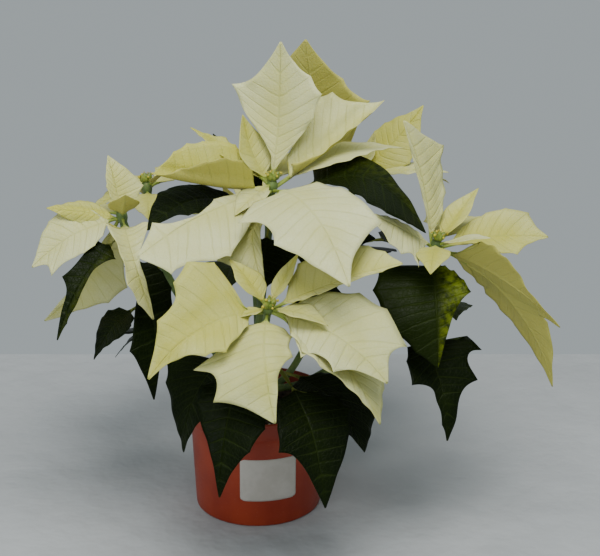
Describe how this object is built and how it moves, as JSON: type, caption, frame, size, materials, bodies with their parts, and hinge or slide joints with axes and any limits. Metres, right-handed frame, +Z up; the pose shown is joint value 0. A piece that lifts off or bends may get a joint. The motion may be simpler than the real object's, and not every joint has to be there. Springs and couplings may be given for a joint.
{
  "type": "potted poinsettia",
  "caption": "Flowering poinsettia with cream bracts and dark green leaves on branching stems, growing in soil in a round tapered plastic nursery pot with a rim band.",
  "frame": {"origin": "middle of the pot's flat base, on the surface that the pot stands on", "axes": "+Z up; -Y towards the plant's fuller front, which the picture shows; +X to the right as seen from the front"},
  "size_m": [0.4413, 0.399, 0.404],
  "materials": {
    "pot": "satin terracotta-coloured plastic",
    "soil": "matte peat",
    "trunk": "matte bark",
    "leaf": "satin dark green leaf",
    "bract": "matte cream bract",
    "cup": "satin green bud"
  },
  "bodies": {
    "root": {"pot": "pot", "soil": "soil", "trunk": "trunk", "stem_top": "leaf", "stem_front": "leaf", "stem_left": "leaf", "stem_right": "leaf", "stem_back_right": "leaf", "stem_back_left": "leaf", "stem_back": "leaf", "bracts_top": "bract", "bracts_front": "bract", "bracts_left": "bract", "bracts_right": "bract", "bracts_back_right": "bract", "bracts_back_left": "bract", "bracts_back": "bract", "cups_top": "cup", "cups_front": "cup", "cups_left": "cup", "cups_right": "cup", "cups_back_right": "cup", "cups_back_left": "cup", "cups_back": "cup"}
  },
  "joints": []
}
